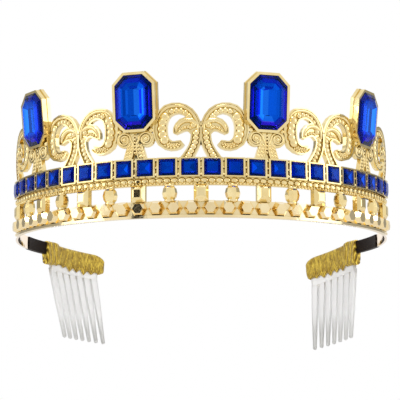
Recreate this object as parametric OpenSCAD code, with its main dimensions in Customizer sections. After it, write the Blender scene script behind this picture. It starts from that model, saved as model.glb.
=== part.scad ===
// Costume crown: an open gold-coloured crown front with blue stones, on a metal strip that
// ends in two clear hair combs bound with gold braid.
// Millimetres. The origin is the centre of the ring, level with the bottom edge of the band.
// The front faces -Y, the wearer's head goes in from below, +Z is up.
// Angles are measured round the ring from the front, positive towards +X.

/* [Crown] */
// Outer radius of the band, at its hexagon faces
ring_r = 75.4; // [74:0.1:78]
// Angle from the front to each end of the cast band
half_arc = 72; // [72:0.1:73]
// Angle taken by one motif: a gem and the two scrolls beside it
motif_arc = 35.7; // [35.2:0.1:36]

/* [Hexagon band] */
// Height of the band of hexagons
band_h = 5.9; // [5.6:0.1:7]
// Number of hexagons round the band
hex_count = 30; // [30:2:36]
// Height of the lip below the hexagons
lip_h = 0.9; // [0.5:0.1:1.2]

/* [Windows] */
// Height of the open windows
window_h = 5.4; // [4.5:0.1:7]
// Angle between a square pillar and the next ball
pillar_pitch = 8.5; // [8:0.1:8.6]
// Width of a square pillar
pillar_w = 5.1; // [4:0.1:5.6]
// Width of a faceted ball
ball_w = 5.5; // [4.5:0.1:6]

/* [Bead moulding] */
// Height of the moulding
moulding_h = 2.8; // [2.5:0.1:3.5]
// Angle between two beads
bead_pitch = 2; // [1.8:0.1:2.4]
// Radius of one bead
bead_r = 1.15; // [0.8:0.05:1.25]

/* [Stone row] */
// Side of a square stone
stone_w = 5.8; // [5.4:0.1:5.9]
// Thickness of a setting's wall above and below its stone
setting_wall = 0.45; // [0.4:0.05:0.5]
// Thickness of a setting's wall beside its stone
setting_side = 0.65; // [0.5:0.05:0.7]
// Gap between a stone and its setting
stone_gap = 0.06; // [0.03:0.01:0.1]

/* [Gems] */
// Width of a large gem
gem_w = 13.8; // [13:0.1:15]
// Height of a large gem
gem_h = 19.1; // [18:0.1:20]
// Size of a gem's cut corner
gem_corner = 3.5; // [3:0.1:4.2]
// Height of a gem's middle above the top of the stone row
gem_rise = 19.7; // [19.4:0.1:20.4]
// Outward lean of a gem
gem_lean = 6; // [4:0.5:6.5]
// Thickness of a bezel's wall
bezel_wall = 0.95; // [0.6:0.05:1.2]
// Depth of a bezel from back to rim
bezel_d = 3.3; // [3:0.1:3.6]
// How far the foot of a bezel stands out round it
bezel_foot = 0.3; // [0.2:0.05:0.5]

/* [Scrollwork] */
// How far the back of the scrollwork lies inside the outer radius
scroll_back = 2; // [1.8:0.1:2.2]
// How far the floor between a scroll's raised rims lies inside the outer radius
scroll_floor = 0.9; // [0.7:0.1:1.2]
// How far the top of a scroll's raised rims lies inside the outer radius
scroll_top = 0.2; // [0:0.1:0.4]
// Width of a raised rim
rim_w = 0.55; // [0.45:0.05:0.6]

/* [Strips and sleeves] */
// How far the middle of the metal strip lies inside the outer radius
strip_in = 2.3; // [2:0.1:2.4]
// Thickness of the metal strip
strip_t = 0.9; // [0.8:0.1:1]
// Angle where the strip and its sleeve end, inside the wrap
sleeve_end = 119.6; // [119.2:0.1:120]
// Height of the sleeve's bottom edge
sleeve_z = -0.1; // [-0.3:0.1:0]
// Height of the sleeve
sleeve_h = 5.1; // [4.6:0.1:5.2]
// Thickness of the sleeve's wall
sleeve_wall = 0.4; // [0.3:0.05:0.45]
// Tilt of the strips and all they carry, down to the rear
arm_drop = 1.3; // [0.8:0.1:1.6]

/* [Combs] */
// Number of teeth on a comb
tooth_count = 7; // [5:1:7]
// Length of a tooth below the comb's spine, to the middle of its round tip
tooth_len = 29; // [20:0.5:36]
// Width of a tooth at its root
tooth_w = 3; // [2.4:0.1:3.3]
// Radius of a tooth's round tip
tip_r = 0.85; // [0.75:0.05:1]
// Thickness of the comb's spine
spine_t = 1.6; // [1.4:0.1:1.8]

/* [Braid wraps] */
// Angle where a wrap begins
wrap_start = 114.9; // [114.4:0.1:115.4]
// Angle where the thick first turn, the collar, ends
collar_end = 121.9; // [121.4:0.1:122.6]
// Thickness of a wrap through the ring
wrap_t = 3.1; // [3:0.1:3.6]
// Distance of a wrap's middle inside the middle of the strip
wrap_in = 0.1; // [0:0.1:0.1]
// Height of a wrap's top edge behind the collar
wrap_top = 5.3; // [5.3:0.1:5.8]

/* [Hidden] */
$fn = 48;

GOLD = "#e2bd5f";
BLUE = "#1b3fb4";
BLACK = "#1d1a1c";
BRAID = "#b98f26";
CLEAR = "#e6eaea";

stone_count = 24;
back_r = ring_r - 2.4;              // inner radius of the casting
prism_r = ring_r - 5.4;             // radius where the flat outlines of the scrollwork start
scroll_back_r = ring_r - scroll_back;
scroll_floor_r = ring_r - scroll_floor;
scroll_rim_r = ring_r - scroll_top;
strip_r = ring_r - strip_in;
window_top = band_h + window_h;
moulding_top = window_top + moulding_h;
seat_w = stone_w + 2 * stone_gap;
setting_w = seat_w + 2 * setting_side;
setting_h = seat_w + 2 * setting_wall;
row_mid = moulding_top + setting_h / 2;
row_top = moulding_top + setting_h;
stone_pitch = 2 * half_arc / stone_count;
hex_pitch = 2 * half_arc / hex_count;
hex_r = ring_r * hex_pitch * PI / 360;
motif_angles = [-1.5, -0.5, 0.5, 1.5] * motif_arc;
bezel_back_r = ring_r + 1.9 - bezel_d;  // radius of a bezel's back at its middle height
face_r = ring_r + 0.8;              // radius of the faces of the hexagons and pillars
bezel_floor = 1.3;                  // thickness of a bezel's back
gem_face = bezel_d + 0.1;           // girdle of a gem above the back of its bezel
sleeve_t = strip_t + 2 * sleeve_wall;
wrap_r = strip_r - wrap_in;

// The two ends aren't bent alike. Rows: right side, left side. Columns: angle where the sleeve
// begins, angle where the wrap ends, height of the wrap's bottom edge, tilt of wrap and comb
// down to the rear, angle of the first tooth, angle between teeth, lean of the teeth inwards,
// lean of the teeth to the rear, height of the spine's bottom edge
SIDES = [
    [99.4, 140.6, -4.8, 10, 119.1, 3.15, 11.5, -0.1, -7.8],
    [101.7, 143.4, -4, 4.5, 119.9, 3.3, 14.8, 3.3, -6.5]];
// The large gems aren't set quite alike. Columns: angle from the motif's middle, height of the
// middle above gem_rise, turn away from square to the ring
GEMS = [[-0.25, 0.3, 0], [0.15, 0.5, 0], [-0.05, 0.2, 0], [-0.95, -0.2, 4]];
// Rounded rear end of a wrap. Columns: angle before the end, narrowing on every side
WRAP_STEPS = [[1.1, 0], [0.4, 0.4], [0, 0.9]];
// Columns: part of the tooth's length below the root, part of its width
TOOTH = [[-0.04, 1], [0.3, 0.94], [0.55, 0.8], [0.75, 0.56], [0.88, 0.4], [1, 0.34]];

// Columns: distance from the motif's edge along the ring, height above the stone row, width of
// the stroke
SCROLL = [
    [5.4, -1.22, 4.4],
    [3.6, 1.88, 3.7],
    [2.15, 4.93, 3.7],
    [1.7, 8.43, 3.8],
    [2.1, 12.18, 3.9],
    [4.2, 15.68, 3.9],
    [7.7, 17.38, 3.9],
    [11.7, 16.55, 4.7],
    [13.85, 13.55, 5],
    [14.35, 9.58, 5.2],
    [13.2, 5.83, 4.6],
    [10.3, 4.1, 3.5],
    [7.7, 4.5, 3.1],
    [6.5, 5.3, 2]];
LEAF = [
    [1.4, 9.6, 5.4],
    [3.8, 11.6, 5.2],
    [6.5, 11.33, 4.7],
    [8.4, 9.58, 3.2],
    [9.1, 8.23, 1.2]];
STEM = [
    [1.0, 9.08, 1.6],
    [1.4, 6.38, 2.1],
    [1.7, 4.33, 2.5],
    [2.3, 2.08, 2.7],
    [3.2, -1.22, 2.9]];
// Columns: height above the stone row, half width of the plate behind the stems
PEDESTAL = [[-1.22, 4.3], [1.18, 3.5], [3.93, 2.9], [5.88, 3.2], [10.98, 4.4]];
VOLUTE_U = 4.05;                    // distance of a volute's middle from the pedestal's middle
VOLUTE_Z = 6.98;                    // height of a volute's middle above the stone row
VOLUTE_R = 2.9;

// Columns: width, height, cut corner, height above the girdle
STONE_CUT = [
    [stone_w - 2.2, stone_w - 2.2, 0.6, -1.2],
    [stone_w, stone_w, 0.5, -0.1],
    [stone_w, stone_w, 0.5, 0.15],
    [stone_w - 0.9, stone_w - 0.9, 0.45, 0.6],
    [stone_w - 2.1, stone_w - 2.1, 0.4, 0.85]];
GEM_CUT = [
    [gem_w - 3, gem_h - 3, gem_corner - 1, -1.5],
    [gem_w, gem_h, gem_corner, -0.3],
    [gem_w, gem_h, gem_corner, 0.1],
    [gem_w - 2.6, gem_h - 2.6, gem_corner - 0.8, 0.9],
    [gem_w - 5.4, gem_h - 5.4, gem_corner - 1.6, 1.4]];
PILLAR_CUT = [
    [pillar_w, window_h + 0.6, 0.3, back_r - face_r + 1.25],
    [pillar_w, window_h + 0.6, 0.3, 0],
    [pillar_w - 1.9, window_h - 1.9, 0.3, 1.1],
    [pillar_w - 2.7, window_h - 2.7, 0.3, 1.2]];

// One point between p1 and p2 on the smooth curve through four rows
function between(p0, p1, p2, p3, t) =
    0.5 * (2 * p1 + (p2 - p0) * t + (2 * p0 - 5 * p1 + 4 * p2 - p3) * t * t
        + (3 * p1 - p0 - 3 * p2 + p3) * t * t * t);

// Rows of a table, with more rows between them on a smooth curve
function smooth(rows, steps) = [
    for (i = [0 : len(rows) - 2], s = [0 : steps - 1])
        between(rows[max(i - 1, 0)], rows[i], rows[i + 1], rows[min(i + 2, len(rows) - 1)],
            s / steps),
    rows[len(rows) - 1]];

// Unit vector square to the path at row i
function across(rows, i) =
    let (a = rows[max(i - 1, 0)], b = rows[min(i + 1, len(rows) - 1)],
        d = [b[0] - a[0], b[1] - a[1]])
    [-d[1], d[0]] / norm(d);

// Outline of a stroke that follows rows of [u, z, width], narrowed by inset on each side
function outline(rows, inset) = [
    for (i = [0 : len(rows) - 1])
        [rows[i][0], rows[i][1]] + across(rows, i) * (rows[i][2] / 2 - inset),
    for (i = [len(rows) - 1 : -1 : 0])
        [rows[i][0], rows[i][1]] - across(rows, i) * (rows[i][2] / 2 - inset)];

// Length along the ring from the angle off, laid flat square to that angle
function flat(points, off) = [
    for (p = points) [ring_r * sin(p[0] * 180 / PI / ring_r - off), p[1]]];

// Octagon of width w and height h with cut corners c
function octagon(w, h, c, z) = [
    [w / 2, -h / 2 + c, z], [w / 2, h / 2 - c, z], [w / 2 - c, h / 2, z], [-w / 2 + c, h / 2, z],
    [-w / 2, h / 2 - c, z], [-w / 2, -h / 2 + c, z], [-w / 2 + c, -h / 2, z],
    [w / 2 - c, -h / 2, z]];

// Closed solid through octagons, one for each row of [width, height, corner, level]
module step_cut(rows) {
    last = 8 * (len(rows) - 1);
    points = [for (r = rows) each octagon(r[0], r[1], r[2], r[3])];
    faces = [
        [7, 6, 5, 4, 3, 2, 1, 0],
        for (k = [0 : len(rows) - 2], i = [0 : 7])
            [8 * k + i, 8 * k + (i + 1) % 8, 8 * (k + 1) + (i + 1) % 8, 8 * (k + 1) + i],
        [for (i = [0 : 7]) last + i]];
    polyhedron(points, [for (f = faces) [for (j = [len(f) - 1 : -1 : 0]) f[j]]], convexity = 4);
}

// Places its children on the ring at an angle: x along the ring, y up, z outwards
module on_ring(angle, r, z = 0) {
    rotate([0, 0, angle]) translate([0, -r, z]) rotate([90, 0, 0]) children();
}

// Part of a ring between two angles, of any section drawn as [radius, height]
module ring_part(from, to) {
    rotate([0, 0, from - 90]) rotate_extrude(angle = to - from, $fn = 180) children();
}

// Ring section from radius r0 to r1 and height z0 to z1
module section(r0, r1, z0, z1) {
    translate([r0, z0]) square([r1 - r0, z1 - z0]);
}

// Upright tube between two radii, to trim the scrollwork to the ring and to the stone row's top
module shell(r0, r1) {
    translate([0, 0, row_top - 0.4]) difference() {
        cylinder(r = r1, h = 30, $fn = 180);
        translate([0, 0, -1]) cylinder(r = r0, h = 32, $fn = 180);
    }
}

// Band of raised hexagons with its lip
module hexagon_band() {
    ring_part(-half_arc, half_arc) section(back_r, ring_r - 1.3, 0, band_h);
    ring_part(-half_arc, half_arc) section(ring_r - 1.5, ring_r - 0.5, 0, lip_h);
    for (i = [0 : hex_count - 1])
        on_ring(-half_arc + (i + 0.5) * hex_pitch, ring_r - 1.6, band_h / 2 + 0.4)
            cylinder(h = face_r - ring_r + 1.6, r1 = hex_r, r2 = hex_r / 2, $fn = 6);
}

// Ball of flat facets, w wide and h high
module faceted_ball(w, h) {
    rotate_extrude($fn = 10) polygon([
        for (a = [-90 : 30 : 90]) [cos(a) * w / 2, sin(a) * h / 2]]);
}

// Square pillars and balls that hold the moulding above the band
module window_row() {
    for (k = [-8 : 2 : 8])
        on_ring(k * pillar_pitch, face_r - 1.2, band_h + window_h / 2) step_cut(PILLAR_CUT);
    difference() {
        for (k = [-7 : 2 : 7])
            rotate([0, 0, k * pillar_pitch]) translate([0, 1.6 - ring_r, band_h + window_h / 2])
                faceted_ball(ball_w, window_h + 0.9);
        cylinder(r = back_r + 0.05, h = row_top, $fn = 180);
    }
}

// Moulding of beads between the windows and the stones
module bead_moulding() {
    ring_part(-half_arc, half_arc)
        section(back_r, ring_r - 1.1, window_top, moulding_top + 0.2);
    for (i = [0 : 2 * half_arc / bead_pitch - 1])
        on_ring(-half_arc + (i + 0.5) * bead_pitch, ring_r - 1.6, window_top + moulding_h / 2)
            cylinder(h = 1.4, r1 = bead_r + 0.05, r2 = bead_r / 2, $fn = 10);
}

// Back ring and square settings of the stone row
module stone_row() {
    difference() {
        union() {
            ring_part(-half_arc, half_arc)
                section(back_r + 0.1, ring_r - 1.4, moulding_top, row_top - 0.1);
            ring_part(-half_arc, half_arc)
                section(back_r + 0.2, ring_r - 0.5, row_top - setting_wall, row_top - 0.05);
            for (i = [0 : stone_count - 1])
                on_ring(-half_arc + (i + 0.5) * stone_pitch, ring_r - 2.1, row_mid)
                    translate([-setting_w / 2, -setting_h / 2, 0])
                        cube([setting_w, setting_h, 2.1]);
        }
        for (i = [0 : stone_count - 1])
            on_ring(-half_arc + (i + 0.5) * stone_pitch, ring_r - 1.65, row_mid)
                translate([-seat_w / 2, -seat_w / 2, 0]) cube([seat_w, seat_w, 5]);
    }
}

// Outward prism of a flat outline drawn as [u, z], centred on an angle
module prism(points, angle) {
    on_ring(angle, prism_r, row_top) linear_extrude(8) polygon(points);
}

// C scroll and its leaf, running from the motif's edge towards its gem; side is 1 or -1
module scroll(edge, side) {
    off = motif_arc / 4;
    main = smooth(SCROLL, 2);
    leaf = smooth(LEAF, 2);
    rotate([0, 0, edge]) mirror([side < 0 ? 1 : 0, 0, 0]) intersection() {
        difference() {
            union() {
                prism(flat(outline(main, 0), off), off);
                prism(flat(outline(leaf, 0), off), off);
            }
            difference() {
                union() {
                    prism(flat(outline(main, rim_w), off), off);
                    prism(flat(outline(leaf, rim_w), off), off);
                }
                translate([0, 0, 10]) cylinder(r = scroll_floor_r, h = 40, $fn = 180);
            }
        }
        shell(scroll_back_r, scroll_rim_r);
    }
}

// Two volutes and two splayed stems that carry a gem
module pedestal() {
    plate = concat([for (p = PEDESTAL) [p[1], p[0]]],
        [for (i = [len(PEDESTAL) - 1 : -1 : 0]) [-PEDESTAL[i][1], PEDESTAL[i][0]]]);
    stem = smooth(STEM, 2);
    intersection() {
        union() {
            prism(plate, 0);
            for (s = [-1, 1])
                on_ring(0, prism_r, row_top + VOLUTE_Z) translate([s * VOLUTE_U, 0, 0])
                    cylinder(r = VOLUTE_R, h = 8);
        }
        shell(scroll_back_r + 0.1, scroll_floor_r - 0.1);
    }
    intersection() {
        union() {
            for (s = [-1, 1]) mirror([s < 0 ? 1 : 0, 0, 0]) {
                prism(outline(stem, 0), 0);
                on_ring(0, prism_r, row_top + VOLUTE_Z) translate([VOLUTE_U, 0, 0]) {
                    difference() {
                        cylinder(r = VOLUTE_R - 0.05, h = 8);
                        translate([0, 0, -1]) cylinder(r = VOLUTE_R - rim_w - 0.1, h = 10);
                    }
                    cylinder(r = 1.25, h = 8);
                }
            }
        }
        shell(scroll_back_r + 0.3, scroll_rim_r - 0.05);
    }
}

// Octagonal bezel, open in front
module bezel() {
    w = gem_w + 2 * bezel_wall + 0.1;
    h = gem_h + 2 * bezel_wall + 0.1;
    c = gem_corner + bezel_wall * 0.6;
    foot = 2 * bezel_foot;
    difference() {
        union() {
            linear_extrude(bezel_d) polygon([for (p = octagon(w, h, c, 0)) [p[0], p[1]]]);
            linear_extrude(bezel_floor)
                polygon([for (p = octagon(w + foot, h + foot, c, 0)) [p[0], p[1]]]);
        }
        translate([0, 0, bezel_floor]) linear_extrude(5)
            polygon([for (p = octagon(gem_w + 0.1, gem_h + 0.1, gem_corner, 0)) [p[0], p[1]]]);
    }
}

// Places its children on the leaning plane of gem number i, counted from 0
module at_gem(i) {
    on_ring(motif_angles[i] + GEMS[i][0], bezel_back_r, row_top + gem_rise + GEMS[i][1])
        rotate([0, GEMS[i][2], 0]) rotate([gem_lean, 0, 0]) children();
}

// Places its children on the arm of one side; s is 0 for the right side and 1 for the left
module arm(s) {
    mirror([s, 0, 0]) rotate([-arm_drop, 0, 0]) children();
}

// Plain strip that carries on from the band's end to the wrap
module strip(s) {
    sleeve_start = SIDES[s][0];
    arm(s) {
        ring_part(half_arc - 2, sleeve_start - 0.2)
            section(strip_r - strip_t / 2, strip_r + strip_t / 2, sleeve_z, sleeve_z + sleeve_h);
        ring_part(sleeve_start - 1, sleeve_end - 0.2)
            section(strip_r - strip_t / 2 + 0.05, strip_r + strip_t / 2 - 0.05,
                sleeve_z + 0.6, sleeve_z + sleeve_h - 0.6);
    }
}

// The whole casting
module frame() color(GOLD) {
    hexagon_band();
    window_row();
    bead_moulding();
    stone_row();
    for (m = [0 : 3]) {
        scroll(motif_angles[m] - motif_arc / 2, 1);
        scroll(motif_angles[m] + motif_arc / 2, -1);
        rotate([0, 0, motif_angles[m]]) pedestal();
        at_gem(m) bezel();
    }
    for (s = [0, 1]) strip(s);
}

// Large gem number i, counted from 1
module gem(i) color(BLUE) {
    at_gem(i - 1) translate([0, 0, gem_face]) step_cut(GEM_CUT);
}

// Square stone number i, counted from 1
module stone(i) color(BLUE) {
    on_ring(-half_arc + (i - 0.5) * stone_pitch, ring_r - 0.15, row_mid) step_cut(STONE_CUT);
}

// Black sleeve over the strip
module sleeve(s) color(BLACK) {
    arm(s) ring_part(SIDES[s][0], sleeve_end) difference() {
        section(strip_r - sleeve_t / 2, strip_r + sleeve_t / 2, sleeve_z, sleeve_z + sleeve_h);
        section(strip_r - strip_t / 2, strip_r + strip_t / 2,
            sleeve_z + 0.5, sleeve_z + sleeve_h - 0.5);
    }
}

// Tilts its children down to the rear about a point inside the collar
module rear_tilt(s) {
    rotate([0, 0, sleeve_end]) translate([0, -strip_r, 2]) rotate([0, SIDES[s][3], 0])
        translate([0, strip_r, -2]) rotate([0, 0, -sleeve_end]) children();
}

// Part of a ring that holds the comb's spine, with some play all round
module spine_part(s, play) {
    first = SIDES[s][4];
    last = first + (tooth_count - 1) * SIDES[s][5];
    ring_part(first - 1 - play, last + 1 + play)
        section(strip_r - spine_t / 2 - play, strip_r + spine_t / 2 + play,
            SIDES[s][8] - play, sleeve_z - 1.1 + play);
}

// Braid wound round the sleeve and the comb's spine
module wrap(s) color(BRAID) {
    low = SIDES[s][2];
    end = SIDES[s][1];
    arm(s) difference() {
        union() {
            rear_tilt(s) for (e = WRAP_STEPS)
                ring_part(sleeve_end, end - e[0]) translate([wrap_r, 0])
                    wrap_section(wrap_t - 2 * e[1], low + e[1], wrap_top - e[1], 1.3 - e[1] * 0.8);
            ring_part(wrap_start, collar_end) translate([wrap_r, 0])
                wrap_section(wrap_t + 0.3, low - 0.3, wrap_top + 0.3, 1);
        }
        ring_part(wrap_start - 1, sleeve_end + 0.1)
            section(strip_r - sleeve_t / 2 - 0.1, strip_r + sleeve_t / 2 + 0.1,
                sleeve_z - 0.1, sleeve_z + sleeve_h + 0.1);
        rear_tilt(s) spine_part(s, 0.1);
    }
}

// Rounded section of a wrap, t thick between two heights, with corners of radius r
module wrap_section(t, low, top, r) {
    translate([-t / 2, low + r]) square([t, top - low - 2 * r]);
    translate([-t / 2 + r, low]) square([t - 2 * r, top - low]);
    for (x = [-t / 2 + r, t / 2 - r], z = [low + r, top - r])
        translate([x, z]) circle(r = r, $fn = 32);
}

// Clear comb: a curved spine and flat teeth with round tips
module comb(s) color(CLEAR, 0.5) {
    tooth = concat([for (p = TOOTH) [p[1] * tooth_w / 2, -p[0] * tooth_len]],
        [for (i = [len(TOOTH) - 1 : -1 : 0])
            [-TOOTH[i][1] * tooth_w / 2, -TOOTH[i][0] * tooth_len]]);
    arm(s) rear_tilt(s) {
        spine_part(s, 0);
        for (i = [0 : tooth_count - 1])
            rotate([0, 0, SIDES[s][4] + i * SIDES[s][5]]) translate([0, -strip_r, SIDES[s][8]])
                rotate([SIDES[s][6], -SIDES[s][7], 0]) {
                    rotate([90, 0, 0]) linear_extrude(spine_t - 0.2, center = true) polygon(tooth);
                    translate([0, 0, -tooth_len]) sphere(r = tip_r, $fn = 24);
                }
    }
}

frame();
gem(1);  // gem_1
gem(2);  // gem_2
gem(3);  // gem_3
gem(4);  // gem_4
stone(1);  // stone_01
stone(2);  // stone_02
stone(3);  // stone_03
stone(4);  // stone_04
stone(5);  // stone_05
stone(6);  // stone_06
stone(7);  // stone_07
stone(8);  // stone_08
stone(9);  // stone_09
stone(10);  // stone_10
stone(11);  // stone_11
stone(12);  // stone_12
stone(13);  // stone_13
stone(14);  // stone_14
stone(15);  // stone_15
stone(16);  // stone_16
stone(17);  // stone_17
stone(18);  // stone_18
stone(19);  // stone_19
stone(20);  // stone_20
stone(21);  // stone_21
stone(22);  // stone_22
stone(23);  // stone_23
stone(24);  // stone_24
sleeve(1);  // sleeve_left
sleeve(0);  // sleeve_right
wrap(1);  // wrap_left
wrap(0);  // wrap_right
comb(1);  // comb_left
comb(0);  // comb_right
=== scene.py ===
import math
import random

import bmesh
import bpy
from mathutils import Matrix, Vector, noise


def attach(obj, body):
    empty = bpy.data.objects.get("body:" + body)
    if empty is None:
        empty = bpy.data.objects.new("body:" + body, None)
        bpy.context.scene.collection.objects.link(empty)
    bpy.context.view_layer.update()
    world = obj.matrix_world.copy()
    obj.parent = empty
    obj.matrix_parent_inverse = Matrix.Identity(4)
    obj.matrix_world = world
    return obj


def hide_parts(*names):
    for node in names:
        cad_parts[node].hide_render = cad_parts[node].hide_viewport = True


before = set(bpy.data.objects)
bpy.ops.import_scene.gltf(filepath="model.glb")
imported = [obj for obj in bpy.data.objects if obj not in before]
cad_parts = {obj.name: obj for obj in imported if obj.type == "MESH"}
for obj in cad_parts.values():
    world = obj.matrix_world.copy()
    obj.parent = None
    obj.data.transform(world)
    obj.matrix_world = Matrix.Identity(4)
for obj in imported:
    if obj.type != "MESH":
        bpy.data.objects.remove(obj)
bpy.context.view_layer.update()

# Costume crown: the casting, stones, sleeves and combs keep their solids and get their finishes
# here. The fine relief on the casting, the foils behind the stones and the wound braid are
# modelled here. Sizes are millimetres in the tables and turn to metres in the making.

MM = 0.001

# Camera, fitted to the photo: place in metres, turns in degrees, lens in millimetres
CAMERA_PLACE = (0, -0.5126, -0.06138)
CAMERA_PAN, CAMERA_UP, CAMERA_ROLL = 0.053, 98.74, -0.194
CAMERA_LENS, SENSOR_W = 115.99, 36
# Soft boxes. Columns: name, place in metres, side in metres, power in watts
SOFTBOXES = [
    ("left_box", (-0.7, -0.25, 0.16), 0.4, 0.62),
    ("right_box", (0.7, -0.25, 0.16), 0.4, 0.66),
    ("top_box", (0.0, -0.35, 0.85), 0.3, 2.0),
]
# Dark opening in the tent: degrees round from the front, degrees up, and the radii, in degrees,
# where its soft edge begins and where it is fully dark
OPENING_AZIMUTH, OPENING_HEIGHT, OPENING_RADII = -37, 8.2, (3.8, 3.4)
# Paper floor under the crown, in metres: height and half its side
FLOOR_Z, FLOOR_HALF = -0.085, 3

# Ring and motif sizes of the casting. Angles are degrees round the ring, with 0 in front, and
# heights are above the band's lower edge
RING_R = 75.4
FLOOR_R = 74.5
HALF_ARC = 72
HEXAGONS, STONES, PEARLS, SCALLOPS = 30, 24, 72, 144
MOTIF_ARC = 35.7
MOTIFS = [MOTIF_ARC * k for k in (-1.5, -0.5, 0.5, 1.5)]
WINDOW_PITCH = 8.5
BAND_TOP = 5.9
WINDOW_TOP = 11.3
MOULDING_TOP = 14.1
ROW_TOP = 20.92
# Radius of the ring at a bezel's back, and the gem's girdle above that back
BEZEL_BACK_R, GIRDLE = 74.0, 3.4

# Stroke of the C scroll and of its leaf: along the ring from the motif's edge, height above the
# stone row, width
SCROLL = [(5.4, -1.22, 4.4), (3.6, 1.88, 3.7), (2.15, 4.93, 3.7), (1.7, 8.43, 3.8),
          (2.1, 12.18, 3.9), (4.2, 15.68, 3.9), (7.7, 17.38, 3.9), (11.7, 16.55, 4.7),
          (13.85, 13.55, 5.0), (14.35, 9.58, 5.2), (13.2, 5.83, 4.6), (10.3, 4.1, 3.5),
          (7.7, 4.5, 3.1), (6.5, 5.3, 2.0)]
LEAF = [(1.4, 9.6, 5.4), (3.8, 11.6, 5.2), (6.5, 11.33, 4.7), (8.4, 9.58, 3.2), (9.1, 8.23, 1.2)]
# Stem of a pedestal: out from the pedestal's middle, height above the stone row, width
STEM = [(3.2, -1.22, 2.9), (2.3, 2.08, 2.7), (1.7, 4.33, 2.5), (1.4, 6.38, 2.1)]
# Middle of a volute: from the pedestal's middle, above the stone row
VOLUTE_U, VOLUTE_Z = 4.05, 6.98
# Coil of a volute: radius at its start and at its end, turns, steps
COIL_START_R, COIL_END_R, COIL_TURNS, COIL_STEPS = 2.5, 0.95, 1.65, 30
# Ribs of a stem, out from the pedestal's middle. The inner rib runs on into the coil
INNER_RIB = [(1.55, -0.5), (0.85, 1.6), (0.55, 3.6), (0.65, 5.3), (1.2, 6.4)]
OUTER_RIB = [(4.4, -0.5), (3.6, 1.2), (3.05, 3.2), (2.75, 4.4)]
RIB_LIFT, INNER_RIB_R, OUTER_RIB_R = 0.6, 0.4, 0.35

# Beads cast along the strokes. Columns: stroke, from, to, pitch, offset outwards across the
# stroke, radius, rise, tip of each bead up from the one before in degrees
BEADING = [
    (SCROLL, 0.9, 12.4, 1.65, 0.0, 1.3, 0.55, 22),
    (SCROLL, 13.6, 27.2, 1.95, -0.75, 1.2, 0.75, 0),
    (SCROLL, 29.0, 38.2, 2.25, -0.55, 1.85, 0.65, 0),
    (SCROLL, 39.6, 44.2, 1.05, 0.75, 0.55, 0.9, 0),
    (SCROLL, 39.2, 44.8, 1.05, 0.0, 0.55, 0.9, 0),
    (SCROLL, 39.6, 44.2, 1.05, -0.7, 0.55, 0.9, 0),
    (LEAF, 2.4, 9.4, 1.45, -1.05, 0.62, 0.9, 0),
]
# Smooth bands cast along the strokes. Columns: stroke, from, to, distance of the band's middle
# from the stroke's outer edge, radius
BANDS = [
    (SCROLL, 10.5, 30.5, 1.05, 0.72),
    (LEAF, 0.8, 9.8, 1.15, 0.95),
]

# Tip of each lapped scale up a stem from the one before, in degrees
SCALE_TIP = 22
# Radii of the ring at the middles of the small beads
COLLAR_R, PRONG_R, PEARL_R = 74.4, 75.1, 74.35
# Beads between two square stones. Columns: height above the moulding, radius, rise
PRONGS = [(0.9, 0.55, 1), (3.3, 0.42, 0.8), (5.9, 0.42, 0.8)]
# Hexagon plates: half width at the back and in front, depth, height as part of the width, how
# far their middle lies outside the floor's radius and above the band's
PLATE_BACK_R, PLATE_FRONT_R, PLATE_DEPTH, PLATE_FLATNESS = 3.1, 1.93, 2.24, 0.96
PLATE_OUT, PLATE_UP = 0.64, 0.4

# Large gems. Columns: angle round the ring, height of the middle, turn to one side in degrees
GEMS = [(-53.8, 40.92, 0), (-17.7, 41.12, 0), (17.8, 40.82, 0), (52.6, 40.42, 4)]
GEM_LEAN = 6
GEM_W, GEM_H, GEM_CORNER = 13.8, 19.1, 3.5
# Painted reflections: tone of the foil's facets behind each large gem, standing in for the light each
# facet catches, one row a step from the rim inwards. Columns: right, upper right, top, upper left,
# left, lower left, bottom, lower right
PAINTED_FOIL_REFLECTIONS = [
    [
        (0.3, 0.2, 0.1, 0.2, 0.5, 0.0, 0.0, 0.0),
        (0.5, 0.3, 0.2, 0.5, 0.8, 0.1, 0.0, 0.05),
        (0.9, 0.7, 0.5, 0.6, 0.9, 0.5, 0.2, 0.5),
        (1.0, 0.9, 0.6, 0.7, 1.0, 0.7, 0.5, 0.8),
        (1.0, 1.0, 0.7, 0.8, 1.0, 0.8, 0.7, 1.0),
    ], [
        (0.05, 0.05, 0.05, 0.1, 0.2, 0.05, 0.0, 0.0),
        (0.05, 0.1, 0.1, 0.2, 0.7, 0.25, 0.05, 0.05),
        (0.9, 0.7, 0.35, 0.4, 0.35, 0.5, 0.4, 0.6),
        (0.0, 0.9, 0.2, 0.45, 0.75, 0.4, 0.5, 0.9),
        (1.0, 0.95, 0.3, 0.5, 0.45, 0.45, 0.6, 0.95),
    ], [
        (0.05, 0.1, 0.05, 0.05, 0.05, 0.0, 0.0, 0.05),
        (0.4, 0.15, 0.1, 0.4, 0.5, 0.5, 0.0, 0.2),
        (0.6, 0.65, 0.45, 0.4, 0.1, 0.8, 0.9, 0.55),
        (0.7, 0.6, 0.2, 0.9, 0.85, 0.9, 1.0, 0.6),
        (0.65, 0.6, 0.0, 0.0, 1.0, 1.0, 1.0, 0.6),
    ], [
        (0.5, 0.1, 0.1, 0.1, 0.3, 0.0, 0.0, 0.0),
        (0.8, 0.3, 0.2, 0.3, 0.5, 0.05, 0.0, 0.1),
        (0.9, 0.4, 0.5, 0.7, 0.9, 0.5, 0.2, 0.5),
        (1.0, 0.6, 0.6, 0.9, 1.0, 0.8, 0.5, 0.7),
        (1.0, 0.8, 0.7, 1.0, 1.0, 1.0, 0.7, 0.8),
    ],
]

# Steps of the foil from the rim inwards. Columns: inset, drop
GEM_STEPS = [(1.5, 0.5), (1.1, 0.25), (1.1, 0.2), (0.9, 0.15), (0.9, 0.1)]
STONE_STEPS = [(0.9, 0.45), (0.7, 0.3)]
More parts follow.
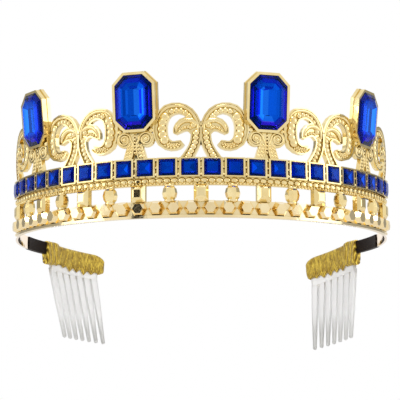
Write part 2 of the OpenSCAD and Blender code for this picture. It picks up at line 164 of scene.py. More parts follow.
# Length of the ridge in a foil's middle, and how much smaller a foil is than its gem
GEM_RIDGE, STONE_RIDGE, FOIL_GAP = 9.0, 0.4, 0.4
# Foil of a square stone: side, cut corner, height above the moulding, range of its tones
STONE_FOIL, STONE_CORNER, STONE_Z, STONE_TONES = 5.5, 0.4, 3.41, (0.22, 0.38)

# Braid wraps: side (1 is +X), end angle, bottom height, top height behind the collar, tilt to
# the rear, first tooth, tooth pitch, how far the ribbon dips in each gap between the teeth
WRAPS = {
    "right": (1, 140.6, -4.8, 4.9, 10, 119.1, 3.15, (0.2, 0.5, 1.0, 0.8, 1.0, 0.9, 0.4, 0.3)),
    "left": (-1, 143.4, -4.0, 4.7, 4.5, 119.9, 3.3, (0.1, 0.2, 0.5, 1.1, 0.9, 1.2, 0.7, 0.2)),
}
WRAP_START, COLLAR_END, SLEEVE_END = 114.9, 121.9, 119.6
STRIP_R, WRAP_R, WRAP_T, COLLAR_TOP = 73.1, 73.0, 3.1, 5.3
ARM_DROP, TILT_Z = 1.3, 2
# Wound surface: quads along and round it, corner of its section, length of one turn of ribbon
WRAP_COLUMNS, WRAP_ROWS, WRAP_CORNER, RIBBON_TURN = 180, 110, 1.3, 26
# Rounding of its front and rear ends, and how far the rear end comes down and up, over which
# length
FRONT_ROUND, REAR_ROUND = 0.6, 2.2
REAR_DROP, REAR_DROP_L, REAR_RISE, REAR_RISE_L = 1.8, 6, 0.5, 3
# Relief: how far the collar stands over the turns, a lap's step, lumps, the collar's folds, and
# the lean of a turn as part of a tooth pitch
COLLAR_EDGE, LAP, LUMP, FOLD, LEAN = 0.3, 0.16, 0.1, 0.2, 0.35
# Lower edge: height of its twists together and of one twist, how far a twist stands out and the
# edge lies back, height and lift of the hem, and the dip that 1 stands for in the table
EDGE_H, TWIST_H, TWIST, EDGE_BACK = 2.6, 3, 0.35, 0.4
HEM_H, HEM_LIFT, DIP = 0.6, 0.4, 1.7


def linear(code):
    """Linear colour of an sRGB hex value, fully opaque."""
    parts = [int(code[i:i + 2], 16) / 255 for i in (1, 3, 5)]
    return [c / 12.92 if c <= 0.04045 else ((c + 0.055) / 1.055) ** 2.4 for c in parts] + [1.0]


def add(tree, kind, inputs=None, stops=(), **settings):
    """Adds a node with its settings and links. An input is a value, or the socket that feeds it;
    stops are the marks of a colour ramp, as (position, hex), with its two ends first."""
    made = tree.nodes.new(kind)
    for name, value in settings.items():
        setattr(made, name, value)
    for name, value in (inputs or {}).items():
        if isinstance(value, bpy.types.NodeSocket):
            tree.links.new(value, made.inputs[name])
        else:
            made.inputs[name].default_value = value
    for i, (position, code) in enumerate(stops):
        marks = made.color_ramp.elements
        mark = marks[i] if i < 2 else marks.new(position)
        mark.position, mark.color = position, linear(code)
    return made


def blank(name):
    """A new material, with its tree and its shader."""
    mat = bpy.data.materials.new(name)
    mat.use_nodes = True
    tree = mat.node_tree
    tree.nodes.clear()
    shader = add(tree, "ShaderNodeBsdfPrincipled")
    add(tree, "ShaderNodeOutputMaterial", {"Surface": shader.outputs["BSDF"]})
    return mat, tree, shader


# Camera and light

def camera():
    """Looks up a little at the crown's front from 44 cm before it, 2 cm below the comb tips."""
    data = bpy.data.cameras.new("camera")
    data.sensor_width = SENSOR_W
    data.lens = CAMERA_LENS
    made = bpy.data.objects.new("camera", data)
    bpy.context.collection.objects.link(made)
    made.matrix_world = (Matrix.Translation(CAMERA_PLACE)
                         @ Matrix.Rotation(math.radians(CAMERA_PAN), 4, "Z")
                         @ Matrix.Rotation(math.radians(CAMERA_UP), 4, "X")
                         @ Matrix.Rotation(math.radians(CAMERA_ROLL), 4, "Z"))
    bpy.context.scene.camera = made


def softbox(name, place, size, power):
    """A square soft light aimed at the crown."""
    data = bpy.data.lights.new(name, "AREA")
    data.size, data.energy = size, power
    made = bpy.data.objects.new(name, data)
    bpy.context.collection.objects.link(made)
    crown = Vector((0, -0.03, 0.02))
    aim = crown - Vector(place)
    made.matrix_world = Matrix.Translation(place) @ aim.to_track_quat("-Z", "Y").to_matrix().to_4x4()


def tent():
    """A white tent round the crown, grey between the sides and the rear, so that polished edges
    turn darker there, with a small dark opening in front on the left. The camera itself sees
    plain white."""
    world = bpy.data.worlds.new("tent")
    bpy.context.scene.world = world
    world.use_nodes = True
    tree = world.node_tree
    tree.nodes.clear()
    look = add(tree, "ShaderNodeTexCoord").outputs["Generated"]
    way = add(tree, "ShaderNodeSeparateXYZ", {"Vector": look})
    front = add(tree, "ShaderNodeMath", {0: way.outputs["Y"], 1: -1.0}, operation="MULTIPLY")
    azimuth = add(tree, "ShaderNodeMath", {0: way.outputs["X"], 1: front.outputs["Value"]},
                  operation="ARCTAN2")
    off = add(tree, "ShaderNodeMath", {0: azimuth.outputs["Value"]}, operation="ABSOLUTE")
    part = add(tree, "ShaderNodeMath", {0: off.outputs["Value"], 1: math.pi}, operation="DIVIDE")
    # Stops are parts of the way from the front to the rear
    walls = add(tree, "ShaderNodeValToRGB", {"Fac": part.outputs["Value"]},
                stops=((0.0, "#e8e6e4"), (0.84, "#ffffff"), (0.16, "#f8f8f8"), (0.44, "#ffffff"),
                       (0.52, "#b0b0b0"), (0.68, "#a0a0a0"), (0.77, "#a0a0a0")))
    height = add(tree, "ShaderNodeMath", {0: way.outputs["Z"]}, operation="ABSOLUTE")
    roof = add(tree, "ShaderNodeMapRange", {"Value": height.outputs["Value"], "From Min": 0.4,
                                            "From Max": 0.75})
    paper = add(tree, "ShaderNodeMix", {0: roof.outputs["Result"], 6: walls.outputs["Color"],
                                         7: linear("#fcfcfc")},
                data_type="RGBA")
    az, el = math.radians(OPENING_AZIMUTH), math.radians(OPENING_HEIGHT)
    edge, full = (math.cos(math.radians(radius)) for radius in OPENING_RADII)
    hole = (math.sin(az) * math.cos(el), -math.cos(az) * math.cos(el), math.sin(el))
    near = add(tree, "ShaderNodeVectorMath", {0: look, 1: hole}, operation="DOT_PRODUCT")
    open_ = add(tree, "ShaderNodeMapRange", {"Value": near.outputs["Value"], "From Min": edge,
                                             "From Max": full})
    dark = add(tree, "ShaderNodeMix", {0: open_.outputs["Result"], 6: paper.outputs[2],
                                       7: linear("#0c0806")}, data_type="RGBA")
    seen = add(tree, "ShaderNodeLightPath").outputs["Is Camera Ray"]
    shown = add(tree, "ShaderNodeMix", {0: seen, 6: dark.outputs[2], 7: linear("#ffffff")},
                data_type="RGBA")
    shade = add(tree, "ShaderNodeBackground", {"Color": shown.outputs[2]})
    add(tree, "ShaderNodeOutputWorld", {"Surface": shade.outputs["Background"]})


def studio():
    """Soft boxes at both sides and above, inside the tent, over a pale paper floor."""
    tent()
    for row in SOFTBOXES:
        softbox(*row)
    floor = bpy.data.objects.new("floor", bpy.data.meshes.new("floor"))
    bpy.context.collection.objects.link(floor)
    sheet = bmesh.new()
    bmesh.ops.create_grid(sheet, x_segments=1, y_segments=1, size=FLOOR_HALF,
                          matrix=Matrix.Translation((0, 0, FLOOR_Z)))
    sheet.to_mesh(floor.data)
    sheet.free()
    # Matt paper, very faintly mottled
    mat, tree, shader = blank("matt_paper")
    place = add(tree, "ShaderNodeTexCoord").outputs["Object"]
    shader.inputs["Roughness"].default_value = 0.9
    grain = add(tree, "ShaderNodeTexNoise", {"Vector": place, "Scale": 900.0, "Detail": 3.0})
    paper = add(tree, "ShaderNodeValToRGB", {"Fac": grain.outputs["Fac"]},
                stops=((0.3, "#e6e4e2"), (0.7, "#eceae8")))
    tree.links.new(paper.outputs["Color"], shader.inputs["Base Color"])
    floor.data.materials.append(mat)


# Finishes

def gold_plate():
    """Bright gold plate on a polished casting: mirror-like, with painted shade darkening it down in
    the recesses, a little rosier on the hexagon band, and rosy on the rolled strips."""
    mat, tree, shader = blank("gold_plate_polished")
    place = add(tree, "ShaderNodeTexCoord").outputs["Object"]
    patches = add(tree, "ShaderNodeTexNoise", {"Vector": place, "Scale": 180.0, "Detail": 3.0})
    plate = add(tree, "ShaderNodeValToRGB", {"Fac": patches.outputs["Fac"]},
                stops=((0.3, "#edd392"), (0.7, "#f8e6b0")))
    where = add(tree, "ShaderNodeSeparateXYZ", {"Vector": place})
    # The strips begin 23 mm in front of the ring's middle, and the band is 6 mm high
    strip = add(tree, "ShaderNodeMapRange", {"Value": where.outputs["Y"], "From Min": -0.0238,
                                             "From Max": -0.0222})
    band = add(tree, "ShaderNodeMapRange", {"Value": where.outputs["Z"], "From Min": 0.0064,
                                            "From Max": 0.0056, "To Max": 0.25})
    rosy = add(tree, "ShaderNodeMath", {0: strip.outputs["Result"], 1: band.outputs["Result"]},
               operation="MAXIMUM")
    metal = add(tree, "ShaderNodeMix", {0: rosy.outputs["Value"], 6: plate.outputs["Color"],
                                        7: linear("#ffecd4")}, data_type="RGBA")
    # Painted shade: where ambient occlusion finds the surface hemmed in, the plate is mixed towards
    # the darker #c8b270
    open_ = add(tree, "ShaderNodeAmbientOcclusion", {"Distance": 0.0016}, samples=6)
    deep = add(tree, "ShaderNodeMapRange", {"Value": open_.outputs["AO"], "From Min": 0.2,
                                            "From Max": 0.75})
    colour = add(tree, "ShaderNodeMix", {0: deep.outputs["Result"], 6: linear("#c8b270"),
                                         7: metal.outputs[2]}, data_type="RGBA")
    tree.links.new(colour.outputs[2], shader.inputs["Base Color"])
    haze = add(tree, "ShaderNodeTexNoise", {"Vector": place, "Scale": 900.0, "Detail": 4.0})
    rough = add(tree, "ShaderNodeMapRange", {"Value": haze.outputs["Fac"], "To Min": 0.05,
                                             "To Max": 0.13})
    tree.links.new(rough.outputs["Result"], shader.inputs["Roughness"])
    waves = add(tree, "ShaderNodeTexNoise", {"Vector": place, "Scale": 420.0, "Detail": 2.0})
    bump = add(tree, "ShaderNodeBump", {"Height": waves.outputs["Fac"], "Strength": 0.1,
                                        "Distance": 0.0004})
    tree.links.new(bump.outputs["Normal"], shader.inputs["Normal"])
    shader.inputs["Metallic"].default_value = 1.0
    return mat


def blue_glass():
    """Blue pressed glass with painted light and shade in its tint: the flat table is painted azure, as
    if the foil's light came out there, and the sloping facets round it royal blue and then purple
    navy, by which way they face."""
    mat, tree, shader = blank("blue_pressed_glass")
    place = add(tree, "ShaderNodeTexCoord").outputs["Object"]
    level = add(tree, "ShaderNodeVectorMath", {0: place, 1: (1, 1, 0)}, operation="MULTIPLY")
    out = add(tree, "ShaderNodeVectorMath", {0: level.outputs["Vector"]}, operation="NORMALIZE")
    facing = add(tree, "ShaderNodeVectorMath",
                 {0: out.outputs["Vector"], 1: add(tree, "ShaderNodeNewGeometry").outputs["Normal"]},
                 operation="DOT_PRODUCT")
    # Painted light and shade: the tint is set by which way each face points, azure where it faces
    # straight out and darker to purple navy as it slopes away
    facets = add(tree, "ShaderNodeValToRGB", {"Fac": facing.outputs["Value"]},
                 stops=((0.88, "#7038d8"), (0.98, "#04d4ff"), (0.92, "#3058f0"), (0.96, "#107cfc")))
    tree.links.new(facets.outputs["Color"], shader.inputs["Base Color"])
    shader.inputs["Transmission Weight"].default_value = 1.0
    shader.inputs["Roughness"].default_value = 0.03
    shader.inputs["IOR"].default_value = 1.5
    shader.inputs["Specular Tint"].default_value = linear("#1878ff")
    return mat


def mirror_foil():
    """Mirror foil pressed behind the glass in steps, with painted reflections: the tone that each face
    carries paints in the light that facet catches, set face by face behind the large gems and at
    random in a narrow range behind the square stones."""
    mat, tree, shader = blank("blue_mirror_foil")
    place = add(tree, "ShaderNodeTexCoord").outputs["Object"]
    tone = add(tree, "ShaderNodeAttribute", attribute_name="tone").outputs["Fac"]
    # Painted reflections: the tone runs from purple navy at 0 to near-white azure at 1
    facets = add(tree, "ShaderNodeValToRGB", {"Fac": tone},
                 stops=((0.0, "#8450e8"), (1.0, "#d4f2ff"), (0.12, "#5a58c4"), (0.3, "#2c80b4"),
                        (0.7, "#68ccfc")))
    tree.links.new(facets.outputs["Color"], shader.inputs["Base Color"])
    dents = add(tree, "ShaderNodeTexNoise", {"Vector": place, "Scale": 240.0, "Detail": 1.0})
    bump = add(tree, "ShaderNodeBump", {"Height": dents.outputs["Fac"], "Strength": 0.08,
                                        "Distance": 0.0003})
    tree.links.new(bump.outputs["Normal"], shader.inputs["Normal"])
    shader.inputs["Metallic"].default_value = 1.0
    shader.inputs["Roughness"].default_value = 0.12
    return mat


def black_sleeve():
    """Shrunk black vinyl sleeve: satin, with the faint lengthwise lines of the drawn tube."""
    mat, tree, shader = blank("satin_black_vinyl")
    place = add(tree, "ShaderNodeTexCoord").outputs["Object"]
    lines = add(tree, "ShaderNodeMapping", {"Vector": place, "Scale": (1, 1, 8)})
    grain = add(tree, "ShaderNodeTexNoise", {"Vector": lines.outputs["Vector"], "Scale": 700.0,
                                             "Detail": 3.0})
    vinyl = add(tree, "ShaderNodeValToRGB", {"Fac": grain.outputs["Fac"]},
                stops=((0.3, "#100806"), (0.7, "#1e110b")))
    tree.links.new(vinyl.outputs["Color"], shader.inputs["Base Color"])
    bump = add(tree, "ShaderNodeBump", {"Height": grain.outputs["Fac"], "Strength": 0.25,
                                        "Distance": 0.0002})
    tree.links.new(bump.outputs["Normal"], shader.inputs["Normal"])
    shader.inputs["Roughness"].default_value = 0.5
    shader.inputs["Specular IOR Level"].default_value = 0.12
    return mat


def clear_plastic():
    """Moulded clear polystyrene, hazed by a cheap mould: it glows an even pale grey, with grey shade
    painted towards the thin tips of the teeth."""
    mat, tree, shader = blank("hazy_polystyrene")
    place = add(tree, "ShaderNodeTexCoord").outputs["Object"]
    haze = add(tree, "ShaderNodeTexNoise", {"Vector": place, "Scale": 500.0, "Detail": 2.0})
    rough = add(tree, "ShaderNodeMapRange", {"Value": haze.outputs["Fac"], "To Min": 0.25,
                                             "To Max": 0.4})
    tree.links.new(rough.outputs["Result"], shader.inputs["Roughness"])
    # Painted shade: the base colour turns greyer over the last 8 mm down to the tips of the teeth
    height = add(tree, "ShaderNodeSeparateXYZ", {"Vector": place}).outputs["Z"]
    painted_tip_shade_fac = add(tree, "ShaderNodeMapRange", {"Value": height, "From Min": -0.034,
                                             "From Max": -0.026})
    body = add(tree, "ShaderNodeValToRGB", {"Fac": painted_tip_shade_fac.outputs["Result"]},
               stops=((0.0, "#dededc"), (1.0, "#ffffff")))
    tree.links.new(body.outputs["Color"], shader.inputs["Base Color"])
    shader.inputs["Transmission Weight"].default_value = 0.75
    shader.inputs["IOR"].default_value = 1.49
    return mat


def tinsel_braid():
    """Ribbon of gold tinsel on yellow yarn: threads 0.8 mm apart round the wrap, with bright
    flecks of tinsel and dark ones of yarn. Reads the piece's own UV map, in millimetres."""
    mat, tree, shader = blank("gold_tinsel_ribbon")
    flat = add(tree, "ShaderNodeUVMap", uv_map="ribbon").outputs["UV"]
    slant = add(tree, "ShaderNodeMapping", {"Vector": flat, "Rotation": (0, 0, 0.2)})
    threads = add(tree, "ShaderNodeTexWave", {"Vector": slant.outputs["Vector"], "Scale": 0.4,
                                              "Distortion": 1.2, "Detail": 1.0})
    drawn = add(tree, "ShaderNodeMapping", {"Vector": flat, "Scale": (1, 0.45, 1)})
    flecks = add(tree, "ShaderNodeTexNoise", {"Vector": drawn.outputs["Vector"], "Scale": 0.6,
                                              "Detail": 4.0, "Roughness": 0.75})
    weave = add(tree, "ShaderNodeMix", {"Factor": 0.3, 2: flecks.outputs["Fac"],
                                        3: threads.outputs["Fac"]}, data_type="FLOAT")
    tinsel = add(tree, "ShaderNodeValToRGB", {"Fac": weave.outputs[0]},
                 stops=((0.32, "#5a4404"), (0.68, "#ffe45c"), (0.44, "#9e7e10"), (0.56, "#c49e22")))
    tree.links.new(tinsel.outputs["Color"], shader.inputs["Base Color"])
    bump = add(tree, "ShaderNodeBump", {"Height": weave.outputs[0], "Strength": 0.5,
                                        "Distance": 0.0004})
    tree.links.new(bump.outputs["Normal"], shader.inputs["Normal"])
    shader.inputs["Metallic"].default_value = 0.35
    shader.inputs["Roughness"].default_value = 0.4
    shader.inputs["Sheen Weight"].default_value = 0.2
    return mat


# Modelling

def ring_matrix(angle, radius, height):
    """Place on the ring: x along it, y up, z outwards. Millimetres in, metres out."""
    a = math.radians(angle)
    return Matrix(((math.cos(a), 0, math.sin(a), radius * MM * math.sin(a)),
                   (math.sin(a), 0, -math.cos(a), -radius * MM * math.cos(a)),
                   (0, 1, 0, height * MM),
                   (0, 0, 0, 1)))


def spread(k, count):
    """Angle of item k, where count of them stand side by side along the whole casting."""
    return -HALF_ARC + (k + 0.5) * 2 * HALF_ARC / count


def finished(name, bm, mat, smooth=True):
    """Turns a bmesh into a piece that rides with the crown."""
    made = bpy.data.objects.new(name, bpy.data.meshes.new(name))
    bmesh.ops.recalc_face_normals(bm, faces=bm.faces)
    for face in bm.faces:
        face.smooth = smooth
    bm.to_mesh(made.data)
    bm.free()
    made.data.materials.append(mat)
    bpy.context.collection.objects.link(made)
    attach(made, "root")
    return made


def bead(bm, matrix, radius, rise=1.0):
    """A small round bead of 80 faces, with its height out of the ring multiplied by rise."""
    bmesh.ops.create_icosphere(bm, subdivisions=2, radius=radius * MM,
                               matrix=matrix @ Matrix.Diagonal((1, 1, rise, 1)))


def eased(rows):
    """The rows with more between them on a smooth curve through all of them."""
    steps = 8
    out = []
    for i in range(len(rows) - 1):
        p = [rows[max(i - 1, 0)], rows[i], rows[i + 1], rows[min(i + 2, len(rows) - 1)]]
        for s in range(steps):
            t = s / steps
            out.append(tuple(0.5 * (2 * b + (c - a) * t + (2 * a - 5 * b + 4 * c - d) * t * t
                                    + (3 * b - a - 3 * c + d) * t ** 3)
                             for a, b, c, d in zip(*p)))
    return out + [rows[-1]]


def along(stroke, start, stop, pitch):
    """Even steps of a stroke's length: place, half width and direction at each."""
    path = eased(stroke)
    done = 0.0
    for a, b in zip(path, path[1:]):
        step = math.dist(a[:2], b[:2])
        while start <= min(done + step, stop):
            t = (start - done) / step
            u, z, width = (p + (q - p) * t for p, q in zip(a, b))
            yield u, z, width / 2, math.atan2(b[1] - a[1], b[0] - a[0])
            start += pitch
        done += step


def on_scroll(middle, side, u, z, lift):
    """Place on one of a motif's two scrolls; side is 1 for the one before the gem."""
    edge = middle - side * MOTIF_ARC / 2
    return (ring_matrix(edge + side * math.degrees(u / RING_R), FLOOR_R + lift, ROW_TOP + z)
            @ Matrix.Diagonal((side, 1, 1, 1)))


def on_pedestal(middle, side, u, z, lift):
    """Place on one half of a motif's pedestal, u out from its middle."""
    return (ring_matrix(middle + side * math.degrees(u / RING_R), FLOOR_R + lift, ROW_TOP + z)
            @ Matrix.Diagonal((side, 1, 1, 1)))


def gem_seat(angle, height, turn):
    """Place of a bezel's back: x along the ring, z out through the gem."""
    return (ring_matrix(angle, BEZEL_BACK_R, height) @ Matrix.Rotation(math.radians(turn), 4, "Y")
            @ Matrix.Rotation(math.radians(GEM_LEAN), 4, "X"))


def scroll_beading(gold):
    """Beads cast along the floors of the eight scrolls and their leaves, in one mesh: lapped
    scales on the legs, single beads along the top, large ones beside the gem, grains at the
    curled end."""
    bm = bmesh.new()
    for middle in MOTIFS:
        for side in (1, -1):
            for stroke, start, stop, pitch, offset, radius, rise, tip in BEADING:
                for u, z, _, turn in along(stroke, start, stop, pitch):
                    u, z = u - offset * math.sin(turn), z + offset * math.cos(turn)
                    bead(bm, on_scroll(middle, side, u, z, 0)
                         @ Matrix.Rotation(turn, 4, "Z")
                         @ Matrix.Rotation(math.radians(tip), 4, "Y"), radius, rise)
    finished("scroll_beading", bm, gold)


def pedestal_beading(gold):
    """Lapped scales in two lanes up both stems of each pedestal, a bead in each volute's eye, and
    a column of beads between the stems."""
    bm = bmesh.new()
    for middle in MOTIFS:
        for side in (1, -1):
            for u, z, _, turn in along(STEM, 0.9, 7.0, 1.3):
                for lane in (-0.55, 0.55):
                    bead(bm, on_pedestal(middle, side, u + lane, z, 0.35)
                         @ Matrix.Rotation(turn, 4, "Z")
                         @ Matrix.Rotation(math.radians(SCALE_TIP), 4, "Y"), 0.68, 0.8)
            bead(bm, on_pedestal(middle, side, VOLUTE_U, VOLUTE_Z, 0.6), 0.8, 0.8)
        for k in range(6):
            bead(bm, on_pedestal(middle, 1, 0, 2.2 + 1.2 * k, 0.1), 0.62, 1.2)
    finished("pedestal_beading", bm, gold)


def volute_coil():
    """Points of a volute's coil, from its outer end to its eye."""
    points = []
    for k in range(COIL_STEPS + 1):
        radius = COIL_START_R + (COIL_END_R - COIL_START_R) * k / COIL_STEPS
        turn = 2 * math.pi * COIL_TURNS * k / COIL_STEPS
        points.append((VOLUTE_U - radius * math.cos(turn), VOLUTE_Z + radius * math.sin(turn)))
    return points


def raised_bands(gold):
    """Smooth round bands cast over the scrolls and leaves, up the stems and round the volutes in
    a coil, in one mesh."""
    path = bpy.data.curves.new("bands", "CURVE")
    path.dimensions, path.bevel_depth, path.bevel_resolution = "3D", MM, 1
    path.use_fill_caps = True

    def band(places, radius):
        spline = path.splines.new("POLY")
        spline.points.add(len(places) - 1)
        for i, (point, place) in enumerate(zip(spline.points, places)):
            tail = min(i, len(places) - 1 - i)
            point.co = (*place.translation, 1)
            # Three thinner points taper each end
            point.radius = radius * min(1, 0.5 + 0.17 * tail)

    for middle in MOTIFS:
        for side in (1, -1):
            for stroke, start, stop, inset, radius in BANDS:
                band([on_scroll(middle, side, u - (half - inset) * math.sin(turn),
                                z + (half - inset) * math.cos(turn), 0.1)
                      for u, z, half, turn in along(stroke, start, stop, 0.7)], radius)
            for rib, radius in ((INNER_RIB + volute_coil(), INNER_RIB_R), (OUTER_RIB, OUTER_RIB_R)):
                band([on_pedestal(middle, side, u, z, RIB_LIFT) for u, z in rib], radius)
    drawn = bpy.data.objects.new("bands", path)
    bpy.context.collection.objects.link(drawn)
    solid = bpy.data.meshes.new_from_object(
        drawn.evaluated_get(bpy.context.evaluated_depsgraph_get()))
    bm = bmesh.new()
    bm.from_mesh(solid)
    bpy.data.objects.remove(drawn)
    bpy.data.curves.remove(path)
    bpy.data.meshes.remove(solid)
    finished("raised_bands", bm, gold)


def small_beads(gold):
    """Collars above and below the window balls, prong beads between the square stones, and a
    bead in each corner between bezel, scroll and volute."""
    bm = bmesh.new()
    for k in range(-7, 8, 2):
        for height in (WINDOW_TOP - 0.1, BAND_TOP + 0.1):
            bead(bm, ring_matrix(k * WINDOW_PITCH, COLLAR_R, height)
                 @ Matrix.Diagonal((1.6, 0.75, 1, 1)), 1.15)
    for k in range(1, STONES):
        for height, radius, rise in PRONGS:
            bead(bm, ring_matrix(spread(k - 0.5, STONES), PRONG_R, MOULDING_TOP + height), radius,
                 rise)
    for middle in MOTIFS:
        for side in (1, -1):
            bead(bm, on_pedestal(middle, side, 5.8, 9.9, 0.2), 1.0)
    finished("collar_and_prong_beads", bm, gold)


def hexagon_plates(gold):
    """Sharp bevelled hexagons cast over the band's own, so wide that their corners touch."""
    bm = bmesh.new()
    for k in range(HEXAGONS):
        place = ring_matrix(spread(k, HEXAGONS), FLOOR_R + PLATE_OUT, BAND_TOP / 2 + PLATE_UP)
        bmesh.ops.create_cone(bm, cap_ends=True, segments=6, radius1=PLATE_BACK_R * MM,
                              radius2=PLATE_FRONT_R * MM, depth=PLATE_DEPTH * MM,
                              matrix=place @ Matrix.Diagonal((1, PLATE_FLATNESS, 1, 1))
                              @ Matrix.Rotation(math.pi / 6, 4, "Z"))
    finished("hexagon_plates", bm, gold, smooth=False)


def moulding(gold):
    """The moulding's row of flat lapped pearls, and the fine scallops along its lower edge."""
    bm = bmesh.new()
    for k in range(PEARLS):
        bead(bm, ring_matrix(spread(k, PEARLS), PEARL_R, MOULDING_TOP - 1.15)
             @ Matrix.Rotation(0.25, 4, "Y") @ Matrix.Diagonal((1.2, 0.85, 1, 1)), 1.25, rise=0.65)
    for k in range(SCALLOPS):
        bead(bm, ring_matrix(spread(k, SCALLOPS), PEARL_R, WINDOW_TOP + 0.5), 0.55)
    finished("moulding_pearls", bm, gold)


def foil_dish(seat, width, height, corner, steps, keel, tones):
    """A closed shell of foil behind a stone: an eight-sided dish whose front falls in steps of
    (inset, drop) to a ridge of the keel's length. Tones has a row of eight for each step."""
    bm = bmesh.new()
    tone = bm.faces.layers.float.new("tone")
    bmesh.ops.create_cube(bm, size=1, matrix=Matrix.Diagonal((width, height, 0.4, 1)))
    upright = [e for e in bm.edges if abs(e.verts[0].co.z - e.verts[1].co.z) > 0.1]
    bmesh.ops.bevel(bm, geom=upright, offset=corner, offset_type="OFFSET", segments=1, profile=0.5,
                    affect="EDGES", material=-1)
    front = max(bm.faces, key=lambda f: f.calc_center_median().z)
    for vert in bm.verts:
        vert.co.z = -0.05 if vert in front.verts else -0.1 - sum(drop for _, drop in steps)
    for (inset, drop), row in zip(steps, tones):
        new = bmesh.ops.inset_region(bm, faces=[front], thickness=inset, use_even_offset=True)["faces"]
        for vert in front.verts:
            vert.co.z -= drop
        for face in new:
            mid = face.calc_center_median()
            face[tone] = row[round(math.atan2(mid.y / height, mid.x / width) * 4 / math.pi) % 8]
    ridge = list(front.verts)
    for vert in ridge:
        vert.co.x = 0
        vert.co.y = math.copysign(keel / 2, vert.co.y)
    bmesh.ops.remove_doubles(bm, verts=ridge, dist=0.01)
    bmesh.ops.scale(bm, vec=(MM, MM, MM), verts=bm.verts)
    bmesh.ops.transform(bm, matrix=seat, verts=bm.verts)
    part = bpy.data.meshes.new("dish")
    bm.to_mesh(part)
    bm.free()
    return part


def foils(foil):
    """The foils behind the large gems and the square stones, in one mesh."""
    chance = random.Random(5)
    parts = []
    for gem, tones in zip(GEMS, PAINTED_FOIL_REFLECTIONS):
        seat = gem_seat(*gem) @ Matrix.Translation((0, 0, GIRDLE * MM))
        parts.append(foil_dish(seat, GEM_W - FOIL_GAP, GEM_H - FOIL_GAP, GEM_CORNER - 0.1, GEM_STEPS,
                               GEM_RIDGE, tones))
    for k in range(STONES):
        seat = ring_matrix(spread(k, STONES), RING_R - 0.1, MOULDING_TOP + STONE_Z)
        tones = [[chance.uniform(*STONE_TONES) for _ in range(8)] for _ in STONE_STEPS]
        parts.append(foil_dish(seat, STONE_FOIL, STONE_FOIL, STONE_CORNER, STONE_STEPS, STONE_RIDGE,
                               tones))
    bm = bmesh.new()
    for part in parts:
        bm.from_mesh(part)
        bpy.data.meshes.remove(part)
    finished("stone_foils", bm, foil, smooth=False)


def arm_matrix(side):
    """The drop of one arm to the rear; side is 1 for +X."""
    return Matrix.Diagonal((side, 1, 1, 1)) @ Matrix.Rotation(math.radians(-ARM_DROP), 4, "X")


def tilt_matrix(tilt):
    """Tilt down to the rear about a point inside the collar, on the +X arm."""
    turn = Matrix.Rotation(math.radians(SLEEVE_END), 4, "Z")
    pivot = Matrix.Translation((0, -STRIP_R * MM, TILT_Z * MM))
    return (turn @ pivot @ Matrix.Rotation(math.radians(tilt), 4, "Y")
            @ pivot.inverted() @ turn.inverted())


def rounded_section(t, low, top, corner, s):
    """Point at part s of the way round a wrap's rounded section, as (outwards, height)."""
    w, h = t / 2 - corner, (top - low) / 2 - corner
    sides = [("line", (w + corner, -h), (w + corner, h)), ("arc", (w, h), 0),
             ("line", (w, h + corner), (-w, h + corner)), ("arc", (-w, h), 90),
             ("line", (-w - corner, h), (-w - corner, -h)), ("arc", (-w, -h), 180),
             ("line", (-w, -h - corner), (w, -h - corner)), ("arc", (w, -h), 270)]
    lengths = [math.dist(a, b) if kind == "line" else corner * math.pi / 2 for kind, a, b in sides]
    run = s % 1 * sum(lengths)
    for (kind, a, b), length in zip(sides, lengths):
        if run <= length:
            break
        run -= length
    t = run / length if length else 0
    if kind == "line":
        x, z = a[0] + (b[0] - a[0]) * t, a[1] + (b[1] - a[1]) * t
    else:
        way = math.radians(b + 90 * t)
        x, z = a[0] + corner * math.cos(way), a[1] + corner * math.sin(way)
    return x, z + (top + low) / 2


def clamped(value):
    """The value, kept between 0 and 1."""
    return max(0.0, min(1.0, value))


def rounding(distance, length):
    """How far a rounded end has drawn in: 1 at the end itself, 0 at the length and beyond."""
    return 1 - math.sqrt(max(0.0, 1 - (1 - min(1.0, distance / length)) ** 2))


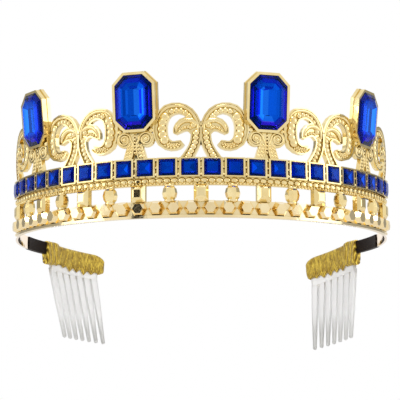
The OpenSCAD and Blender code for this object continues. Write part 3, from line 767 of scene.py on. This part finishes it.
def braid_wrap(name, node, braid):
    """Ribbon wound over the strip's end and the comb's spine: a thick first turn, lapped turns
    behind it, and twists of ribbon that cross between the teeth."""
    side, end, low, top, tilt, first_tooth, pitch, dips = WRAPS[name]
    tilted, arm = tilt_matrix(tilt), arm_matrix(side)
    bm = bmesh.new()
    uv = bm.loops.layers.uv.new("ribbon")
    bmesh.ops.create_grid(bm, x_segments=WRAP_COLUMNS, y_segments=WRAP_ROWS, size=0.5)
    for face in bm.faces:
        for loop in face.loops:
            x, s = loop.vert.co.x + 0.5, loop.vert.co.y + 0.5
            loop[uv].uv = (x * math.radians(end - WRAP_START) * WRAP_R, s * RIBBON_TURN)
    for vert in bm.verts:
        x, s = vert.co.x + 0.5, vert.co.y + 0.5
        angle = WRAP_START + (end - WRAP_START) * x
        before = math.radians(end - angle) * WRAP_R
        after = math.radians(angle - WRAP_START) * WRAP_R
        ends = max(rounding(before, REAR_ROUND), rounding(after, FRONT_ROUND))
        # 1 on the collar, with a steep step to 0 on the turns behind it
        collar = clamped((COLLAR_END - 0.4 - angle) / 0.7 + 0.5)
        crown = (top + (COLLAR_TOP + COLLAR_EDGE - top) * collar
                 - REAR_DROP * max(0.0, 1 - before / REAR_DROP_L) ** 2)
        sole = low - COLLAR_EDGE * collar + REAR_RISE * max(0.0, 1 - before / REAR_RISE_L) ** 2
        out, height = rounded_section(WRAP_T, sole, crown, WRAP_CORNER, s)
        middle = (sole + crown) / 2
        # Lapped turns, and the folds of the collar
        gap = (angle - first_tooth) / pitch
        phase = (gap + LEAN * math.cos(2 * math.pi * s) + 0.5) % 1
        lump = noise.noise(Vector((after * 0.8, height * 0.8, side * 5 + out)))
        lap = LAP * (1 - phase) ** 0.7 + LUMP * (lump - 1)
        fold = 0.15 + FOLD * math.sin(after * 1.9 + 0.5 * height) + 0.15 * lump
        lap += (fold - lap) * collar
        # Twists of ribbon over the lower edge, then the hem with its dips between the teeth
        edge = clamped((sole + EDGE_H - height) / 0.8) * (1 - collar)
        twist = abs(math.sin(math.pi * (gap + (height - sole) / TWIST_H)))
        lap += edge * (TWIST * twist - EDGE_BACK)
        out *= 1 + lap / (WRAP_T / 2) - ends * 0.6
        height = middle + (height - middle) * (1 - ends * 0.2)
        if height < sole + HEM_H:
            between = abs(gap % 1 - 0.5) * 2
            deep = dips[max(0, min(len(dips) - 1, math.floor(gap) + 1))]
            height += (HEM_LIFT - DIP * deep * (1 - between)) * (1 - collar) * (1 - ends)
            out *= 0.8
        place = ring_matrix(angle, WRAP_R + out, height).translation
        vert.co = arm @ place.lerp(tilted @ place, clamped((angle - SLEEVE_END) / 1.5))
    bmesh.ops.remove_doubles(bm, verts=bm.verts, dist=0.00002)
    rims = [e for e in bm.edges if e.is_boundary]
    bmesh.ops.holes_fill(bm, edges=rims, sides=0)
    made = finished(f"ribbon_wrap_{name}", bm, braid)
    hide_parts(node)


camera()
studio()
GOLD = gold_plate()
GLASS = blue_glass()
FOIL = mirror_foil()
BLACK = black_sleeve()
CLEAR = clear_plastic()
BRAID = tinsel_braid()

# Finish of each solid, by the first word of its name
FINISHES = {"frame": GOLD, "gem": GLASS, "stone": GLASS, "sleeve": BLACK, "comb": CLEAR, "wrap": BRAID}
for name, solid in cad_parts.items():
    solid.data.materials.clear()
    solid.data.materials.append(FINISHES[name.split("_")[0]])

scroll_beading(GOLD)
pedestal_beading(GOLD)
raised_bands(GOLD)
small_beads(GOLD)
hexagon_plates(GOLD)
moulding(GOLD)
foils(FOIL)
braid_wrap("right", "wrap_right", BRAID)
braid_wrap("left", "wrap_left", BRAID)

bpy.context.scene.view_settings.view_transform = "Standard"
